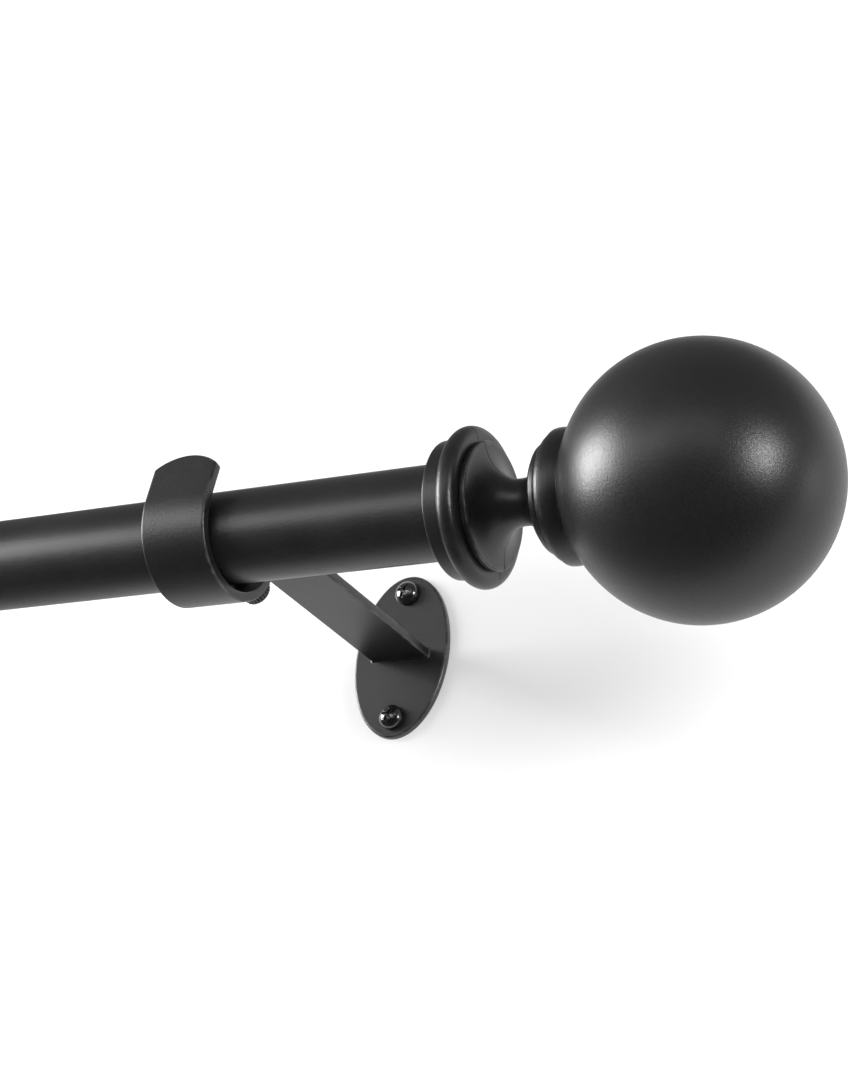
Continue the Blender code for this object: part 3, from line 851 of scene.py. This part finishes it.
def strap(name, side):
    """Flat bar bent into the arm and hook, edges rounded all the way round."""
    low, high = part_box(side + "_bracket_arm")
    middle_x = 0.5 * (low.x + high.x)
    half = 0.5 * (high.x - low.x)
    stations, run = strap_path(low, high)
    rows = strap_rows(half, stations, run)
    edge = []
    for k in range(2 * ROUND_STEPS + 2):  # round the edge from outer to inner face
        upper = k <= ROUND_STEPS
        turn = 0.5 * math.pi * (k if upper else k - 1) / ROUND_STEPS
        rise = 0.5 * STRAP_THICK - STRAP_ROUND
        edge.append((STRAP_ROUND * (1.0 - math.sin(turn)),
                     (rise if upper else -rise) + STRAP_ROUND * math.cos(turn)))
    spread = (0.97, 0.90, 0.7, 0.4, 0.0, -0.4, -0.7, -0.90, -0.97)
    verts, grid = [], []
    for base, tangent, place, normal in rows:
        thick = Vector((-tangent.y, tangent.x))
        loop = []

        def add(along, across, out):
            spot = base + tangent * along + thick * out
            loop.append(len(verts))
            verts.append(Vector((middle_x + across, spot.x, spot.y)))

        levels = [(place - normal * inset, out) for inset, out in edge]
        for spot, out in levels:
            add(spot.x, spot.y, out)
        for share in spread:
            add(levels[-1][0].x, levels[-1][0].y * share, levels[-1][1])
        for spot, out in reversed(levels):
            add(spot.x, -spot.y, out)
        for share in reversed(spread):
            add(levels[0][0].x, levels[0][0].y * share, levels[0][1])
        grid.append(loop)
    faces = [list(reversed(grid[0]))] + bridge(grid, closed=False)
    # the last row lies on the middle line, where the two sides meet
    piece = finish_piece(name, verts, faces, PAINT, side + "_bracket", [side + "_bracket_arm"])
    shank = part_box(side + "_thumb_screw")
    radius = 0.5 * (shank[1].x - shank[0].x) + THUMB_PLAY
    centre = Vector((middle_x, ROD_Y, ROD_Z)) + THUMB_AXIS * CRADLE_OUTER
    cut_hole(piece, THUMB_AXIS, centre, radius, 3.0 * STRAP_THICK)
    return piece


def arm_weld(name, side):
    """Thin painted weld bead round the foot of the arm."""
    low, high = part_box(side + "_bracket_arm")
    middle_x = 0.5 * (low.x + high.x)
    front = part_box(side + "_wall_plate")[0].y
    half = 0.5 * (high.x - low.x)
    flat_x, flat_z = half - STRAP_ROUND, 0.5 * STRAP_THICK - STRAP_ROUND
    loop = []
    corner_steps = 8
    for quarter, (sx, sz) in enumerate(((1, 1), (-1, 1), (-1, -1), (1, -1))):
        for k in range(corner_steps + 1):
            turn = 0.5 * math.pi * (quarter + k / corner_steps)
            loop.append((Vector((sx * flat_x, sz * flat_z)),
                         Vector((math.cos(turn), math.sin(turn)))))
    outline = []
    for i, (base, normal) in enumerate(loop):
        after, after_normal = loop[(i + 1) % len(loop)]
        gap = (after - base).length
        parts = max(1, int(gap / EDGE_STEP))
        for k in range(parts):
            outline.append((base.lerp(after, k / parts), normal.lerp(after_normal, k / parts)))
    section = []
    steps = 7
    for k in range(steps + 1):
        turn = 0.5 * math.pi * k / steps
        section.append((STRAP_ROUND + WELD_SIZE * (1.0 - math.sin(turn)) ** 1.3,
                        WELD_SIZE * (1.0 - math.cos(turn)) ** 1.3))
    root = STRAP_ROUND - WELD_ROOT
    section = [(root, -WELD_SINK), (section[0][0], -WELD_SINK)] + section
    section += [(root, WELD_SIZE)]
    verts, rings = [], []
    for i, (base, normal) in enumerate(outline):
        ripple = 1.0 + 0.10 * math.sin(i * 1.9) + 0.06 * math.sin(i * 0.73 + 1.0)
        ring = []
        for out, up in section:
            lift = STRAP_ROUND + (out - STRAP_ROUND) * (ripple if out > STRAP_ROUND else 1.0)
            spot = base + normal * lift
            ring.append(len(verts))
            verts.append(Vector((middle_x + spot.x, front - up, spot.y)))
        rings.append(ring)
    return finish_piece(name, verts, bridge(rings), PAINT, side + "_bracket", [])


def wall_plate(name, side):
    """Oval pressed plate with a soft front edge and two screw holes."""
    low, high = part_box(side + "_wall_plate")
    middle_x = 0.5 * (low.x + high.x)
    half_x, half_z = 0.5 * (high.x - low.x), 0.5 * (high.z - low.z)
    thick = high.y - low.y
    edge = rounded([(0.0, high.y, 0.0), (0.0, high.y - thick, PLATE_ROUND),
                    (3.0 * PLATE_ROUND, high.y - thick, 0.0)], closed=False)
    edge = spaced(edge, EDGE_STEP, closed=False)
    inner = [1.0 - k / 9.0 for k in range(10)]
    turns = even_turns(FINE_TURN)
    verts, rings = [], []

    def ring_at(inset, shrink, y):
        ring = []
        for turn in turns:
            nx, nz = math.cos(turn) / half_x, math.sin(turn) / half_z
            size = math.hypot(nx, nz)
            ring.append(len(verts))
            verts.append(Vector((
                middle_x + (half_x * math.cos(turn) - inset * nx / size) * shrink,
                y,
                (half_z * math.sin(turn) - inset * nz / size) * shrink,
            )))
        rings.append(ring)

    for shrink in reversed(inner[1:-1]):
        ring_at(0.0, shrink, high.y)
    for inset, y in edge:
        ring_at(inset, 1.0, y)
    for shrink in inner[1:-1]:
        ring_at(edge[-1].x, shrink, low.y)
    faces = [rings[0], list(reversed(rings[-1]))] + bridge(rings, closed=False)
    piece = finish_piece(name, verts, faces, PAINT, side + "_bracket", [side + "_wall_plate"])
    for label in ("upper", "lower"):
        screw_low, screw_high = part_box(side + "_wall_screw_" + label)
        centre = 0.5 * (screw_low + screw_high)
        cut_hole(piece, Y_AXIS, Vector((centre.x, 0.0, centre.z)), PLATE_HOLE, DRILL_REACH)
    return piece


# ---- screws ----------------------------------------------------------------
def recess_depth(across, up):
    """Depth of the cross recess at a place on the screw head."""
    deepest = 0.0
    for a, b in ((abs(across), abs(up)), (abs(up), abs(across))):
        half = RECESS_HALF * (1.0 - 0.30 * min(a / RECESS_REACH, 1.0))
        side = (half - b) / RECESS_SIDE
        end = (RECESS_REACH - a) / RECESS_END
        wall = max(0.0, min(1.0, side + 0.5)) * max(0.0, min(1.0, end))
        wall = wall * wall * (3.0 - 2.0 * wall)
        floor = RECESS_DEPTH * (0.45 + 0.55 * max(0.0, 1.0 - a / RECESS_REACH))
        deepest = max(deepest, floor * wall)
    return deepest


def wall_screw(name, side, label):
    """Pan-head cross-recess screw with a coarse thread behind the plate."""
    node = side + "_wall_screw_" + label
    low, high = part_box(node)
    centre = 0.5 * (low + high)
    head = 0.5 * (high.x - low.x)
    under = low.y + HEAD_RISE
    turns = even_turns(SMALL_TURN * 2)
    verts, rings = [], []

    def ring_at(y, radius, spin=None):
        ring = []
        for turn in turns:
            r, depth = radius, 0.0
            if spin == "recess":
                lie = turn + RECESS_TURN
                depth = recess_depth(r * math.cos(lie), r * math.sin(lie))
            elif spin == "thread":
                phase = ((y - under) / WOOD_PITCH + turn / TAU) % 1.0
                crest = max(0.0, 1.0 - abs(phase - 0.5) / 0.22)
                taper = min(1.0, (high.y - y) / POINT_LENGTH)
                root = (WOOD_THREAD / SHANK_RADIUS) * (1.0 - crest)
                r = radius * (1.0 - root) * max(taper, 0.04)
            ring.append(len(verts))
            verts.append(Vector((centre.x + r * math.cos(turn), y + depth,
                                 centre.z + r * math.sin(turn))))
        rings.append(ring)

    ring_count = 44
    for k in range(1, ring_count + 1):  # domed top, as a field of heights
        radius = (head - 0.1 * MM) * k / ring_count
        share = radius / head
        dome = (HEAD_RISE - HEAD_SIDE) * (1.0 - math.sqrt(max(0.0, 1.0 - share ** DOME_POWER)))
        ring_at(low.y + dome, radius, "recess")
    edge = rounded([(under - HEAD_SIDE, head - 0.02 * MM, 0.0),
                    (under, head, 0.15 * MM), (under, SHANK_RADIUS + 0.1 * MM, 0.0)], closed=False)
    for y, radius in edge:
        ring_at(y, radius)
    length = high.y - under
    thread_rings = 150
    for k in range(thread_rings + 1):
        y = under + 0.05 * MM + (length - 0.05 * MM) * k / thread_rings
        ring_at(y, SHANK_RADIUS, "thread")
    faces = bridge(rings, closed=False)
    top = len(verts)
    verts.append(Vector((centre.x, low.y + recess_depth(0.0, 0.0), centre.z)))
    for i in range(len(turns)):
        faces.append([top, rings[0][(i + 1) % len(turns)], rings[0][i]])
    faces.append(rings[-1])
    return finish_piece(name, verts, faces, SCREW, side + "_bracket", [node], 50.0)


def tilted_turning(node):
    """Start point, radius and length of a turned node on the thumb screw's axis."""
    low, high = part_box(node)
    radius = 0.5 * (high.x - low.x)
    length = ((high.y - low.y) - 2.0 * radius * math.sin(THUMB_TILT)) / math.cos(THUMB_TILT)
    return 0.5 * (low + high) - THUMB_AXIS * (0.5 * length), radius, length


def thumb_screw(side):
    """Machine-thread shank and knurled head, one on its own turning body each."""
    node = side + "_thumb_screw"
    origin, radius, length = tilted_turning(node)
    points = [Vector((0.0, 0.0)), Vector((0.0, radius - THUMB_CHAMFER))]
    points += spaced([Vector((THUMB_CHAMFER, radius)), Vector((length - 0.05 * MM, radius))],
                     0.08 * MM, closed=False)
    points += [Vector((length, radius - 0.3 * MM)), Vector((length, 0.0))]

    def thread(along, out, turn):
        if out < 0.95 * radius:
            return 0.0
        phase = (along / THUMB_PITCH - turn / TAU) % 1.0
        return -THUMB_THREAD * abs(2.0 * phase - 1.0)

    revolve(side + "_thumb_shank", points, THUMB_AXIS, origin, even_turns(48), STEEL,
            side + "_thumb", [node], thread)

    node = side + "_thumb_head"
    origin, radius, length = tilted_turning(node)
    edge = KNOB_EDGE
    rim = spaced([Vector((edge, radius)), Vector((length - edge, radius))], 0.4 * MM, closed=False)
    front = rounded([(length - edge, radius, 0.0), (length, radius - edge, 0.15 * MM),
                     (length - 0.05 * MM, 2.4 * MM, 0.2 * MM),
                     (length - 0.45 * MM, 1.9 * MM, 0.2 * MM),
                     (length - 0.45 * MM, 0.0, 0.0)], closed=False)
    back = [Vector((0.5 * length, 0.0)), Vector((0.5 * length, KNOB_BORE)), Vector((0.0, KNOB_BORE)),
            Vector((0.0, radius - edge))]
    points = back + rim + spaced(front, 0.5 * MM, closed=False)[1:]

    def knurl(along, out, turn):
        if out < radius - 0.9 * edge:
            return 0.0
        groove = abs((KNURL_TEETH * turn / TAU) % 1.0 - 0.5) * 2.0
        fade = min(1.0, (out - radius + 0.9 * edge) / (0.6 * edge))
        return -KNURL_DEPTH * max(0.0, 1.0 - 1.5 * groove) * fade

    revolve(side + "_thumb_knob_knurled", points, THUMB_AXIS, origin,
            even_turns(KNURL_TEETH * 10), STEEL, side + "_thumb_knob", [node], knurl)


def brackets():
    for make, name, node in (
        (strap, "strap", "bracket_arm"),
        (wall_plate, "oval_plate", "wall_plate"),
        (arm_weld, "arm_weld", None),
    ):
        piece = make("right_" + name, "right")
        nodes = ["left_" + node] if node else []
        shifted_copy(piece, "left_" + name, LEFT_SHIFT, "left_bracket", nodes)
    for label in ("upper", "lower"):
        piece = wall_screw("right_pan_screw_" + label, "right", label)
        shifted_copy(piece, "left_pan_screw_" + label, LEFT_SHIFT, "left_bracket",
                     ["left_wall_screw_" + label])
    for side in ("right", "left"):
        thumb_screw(side)


def hidden_nodes():
    """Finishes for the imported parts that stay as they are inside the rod."""
    finishes = {
        NYLON: ("right_tube_plug", "left_tube_plug", "inner_tube_glide"),
        ZINC: ("right_ball_insert", "left_ball_insert"),
        STEEL: ("right_finial_stud", "left_finial_stud"),
    }
    for material, names in finishes.items():
        for name in names:
            node = frame["nodes"][name]
            for slot in node.material_slots:
                slot.material = material


# ---- stage -----------------------------------------------------------------
def stage_plane(name, corners, material):
    mesh = bpy.data.meshes.new(name)
    mesh.from_pydata(corners, [], [(0, 1, 2, 3)])
    mesh.materials.append(material)
    plane = bpy.data.objects.new(name, mesh)
    bpy.context.scene.collection.objects.link(plane)
    return plane


def backdrop_material():
    """White wall paint, seen from the room side only.

    The camera sees it lit, with a painted shade beside the bracket that clears
    further out.  Reflections see a bright stretch and a small glint instead.
    Each depends on the place on the wall, never on where the camera stands.
    """
    material = bpy.data.materials.new("white_wall")
    material.use_nodes = True
    material.node_tree.nodes.clear()
    t = Tree(material.node_tree)
    side = t.add("ShaderNodeNewGeometry")

    def distance(middle, squash):
        away = t.add("ShaderNodeVectorMath", operation="SUBTRACT")
        t.join(side.outputs["Position"], away.inputs[0])
        away.inputs[1].default_value = middle
        scaled = t.add("ShaderNodeVectorMath", operation="MULTIPLY")
        t.join(away.outputs["Vector"], scaled.inputs[0])
        scaled.inputs[1].default_value = (1.0, 0.0, squash)
        length = t.add("ShaderNodeVectorMath", operation="LENGTH")
        t.join(scaled.outputs["Vector"], length.inputs[0])
        return length.outputs["Value"]

    paint = t.add("ShaderNodeBsdfDiffuse")
    paint.inputs["Color"].default_value = (WALL_PAINT, WALL_PAINT, WALL_PAINT, 1.0)
    glow = t.add("ShaderNodeEmission")
    shade = t.ramp(distance(WALL_SHADE, WALL_SHADE_SQUASH), *WALL_SHADE_EDGE,
                   WALL_GLOW, WALL_GLOW_FAR)
    t.join(shade, glow.inputs["Strength"])
    both = t.add("ShaderNodeAddShader")
    t.join(paint.outputs[0], both.inputs[0])
    t.join(glow.outputs[0], both.inputs[1])
    mirrored = t.add("ShaderNodeEmission")
    patch = t.ramp(distance(WALL_PATCH, WALL_PATCH_SQUASH), *WALL_PATCH_EDGE,
                   WALL_REFLECTED, WALL_REFLECTED_FAR)
    glint = t.ramp(distance(WALL_GLINT, 1.0), *WALL_GLINT_EDGE, WALL_GLINT_GAIN, 0.0)
    total = t.add("ShaderNodeMath", operation="ADD")
    t.join(patch, total.inputs[0])
    t.join(glint, total.inputs[1])
    t.join(total.outputs[0], mirrored.inputs["Strength"])
    path = t.add("ShaderNodeLightPath")
    lit = t.mix(path.outputs["Is Glossy Ray"], both.outputs[0], mirrored.outputs[0])
    clear = t.add("ShaderNodeBsdfTransparent")
    out = t.add("ShaderNodeOutputMaterial")
    t.join(t.mix(side.outputs["Backfacing"], lit, clear.outputs[0]), out.inputs["Surface"])
    return material


def floor_material():
    material = bpy.data.materials.new("pale_floor")
    material.use_nodes = True
    shader = material.node_tree.nodes["Principled BSDF"]
    shader.inputs["Base Color"].default_value = (0.82, 0.82, 0.81, 1.0)
    shader.inputs["Roughness"].default_value = 0.8
    return material


def stage():
    stage_plane("backdrop_wall", [
        (-WALL_HALF, WALL_AT, FLOOR_Z), (WALL_HALF, WALL_AT, FLOOR_Z),
        (WALL_HALF, WALL_AT, WALL_TOP), (-WALL_HALF, WALL_AT, WALL_TOP),
    ], backdrop_material())
    floor = stage_plane("floor", [
        (-FLOOR_HALF, -FLOOR_HALF, FLOOR_Z), (FLOOR_HALF, -FLOOR_HALF, FLOOR_Z),
        (FLOOR_HALF, FLOOR_HALF, FLOOR_Z), (-FLOOR_HALF, FLOOR_HALF, FLOOR_Z),
    ], floor_material())
    floor.visible_glossy = False


def world():
    """Dim studio for reflections, plain white behind everything."""
    scene_world = bpy.data.worlds.new("studio")
    bpy.context.scene.world = scene_world
    scene_world.use_nodes = True
    scene_world.node_tree.nodes.clear()
    t = Tree(scene_world.node_tree)
    coord = t.add("ShaderNodeTexCoord")
    split = t.add("ShaderNodeSeparateXYZ")
    t.join(coord.outputs["Generated"], split.inputs[0])
    above = t.ramp(split.outputs["Z"], -0.4, 0.6, ROOM_LOW, ROOM_HIGH)
    behind = t.add("ShaderNodeMapRange", interpolation_type="SMOOTHSTEP")
    behind.inputs["From Min"].default_value = -0.05
    behind.inputs["From Max"].default_value = 0.25
    behind.inputs["To Max"].default_value = REAR_LIGHT
    t.join(split.outputs["Y"], behind.inputs["Value"])
    t.join(above, behind.inputs["To Min"])
    room = t.add("ShaderNodeBackground")
    t.join(behind.outputs["Result"], room.inputs["Strength"])
    white = t.add("ShaderNodeBackground")
    white.inputs["Strength"].default_value = 1.0
    path = t.add("ShaderNodeLightPath")
    seen = t.mix(path.outputs["Is Camera Ray"], room.outputs[0], white.outputs[0])
    out = t.add("ShaderNodeOutputWorld")
    t.join(seen, out.inputs["Surface"])


def softbox(name, azimuth, elevation, width, height, radiance):
    """Area light facing the right-hand finial; azimuth 0 is straight ahead."""
    data = bpy.data.lights.new(name, "AREA")
    data.shape = "RECTANGLE"
    data.size, data.size_y = width, height
    data.energy = radiance * math.pi * width * height
    data.color = (1.0, 1.0, 1.0)
    lamp = bpy.data.objects.new(name, data)
    bpy.context.scene.collection.objects.link(lamp)
    around, above = math.radians(azimuth), math.radians(elevation)
    heading = Vector((math.sin(around) * math.cos(above), -math.cos(around) * math.cos(above),
                      math.sin(above)))
    lamp.location = LIGHT_AIM + heading * LIGHT_REACH
    lamp.rotation_euler = heading.to_track_quat("Z", "Y").to_euler()
    lamp.visible_camera = False


def lights():
    for name, azimuth, elevation, width, height, radiance in (
        ("left_softbox", -67.5, 8.8, 1.30, 0.95, 22.5),
        ("right_softbox", 70.0, 3.6, 0.58, 0.60, 34.0),
        ("front_left_fill", -31.0, 5.0, 2.30, 0.95, 2.15),
        ("front_fill", 14.0, 12.0, 2.10, 1.10, 1.20),
    ):
        softbox(name, azimuth, elevation, width, height, radiance)


def camera():
    """View from below and in front of the right-hand end."""
    heading, pitch, roll = CAMERA_HEADING, CAMERA_PITCH, CAMERA_ROLL
    ahead = Vector((-math.sin(heading) * math.cos(pitch),
                    math.cos(heading) * math.cos(pitch), math.sin(pitch)))
    level = Vector((math.cos(heading), math.sin(heading), 0.0))
    upright = level.cross(ahead)
    right = level * math.cos(roll) + upright * math.sin(roll)
    up = upright * math.cos(roll) - level * math.sin(roll)
    data = bpy.data.cameras.new("camera")
    data.sensor_width = 36.0
    data.sensor_fit = "AUTO"
    data.lens = CAMERA_LENS
    data.clip_start = 0.01
    cam = bpy.data.objects.new("camera", data)
    bpy.context.scene.collection.objects.link(cam)
    turn = Matrix((right, up, -ahead)).transposed().to_4x4()
    cam.matrix_world = Matrix.Translation(CAMERA_AT) @ turn
    bpy.context.scene.camera = cam


# ---- build -----------------------------------------------------------------
tube("outer_tube_rolled", "outer_tube", "rod")
tube("inner_tube_rolled", "inner_tube", "inner_rod")
adapter_sleeve()
finial("right", 1.0)
finial("left", -1.0)
brackets()
hidden_nodes()
stage()
world()
lights()
camera()
bpy.context.scene.view_settings.view_transform = "Standard"
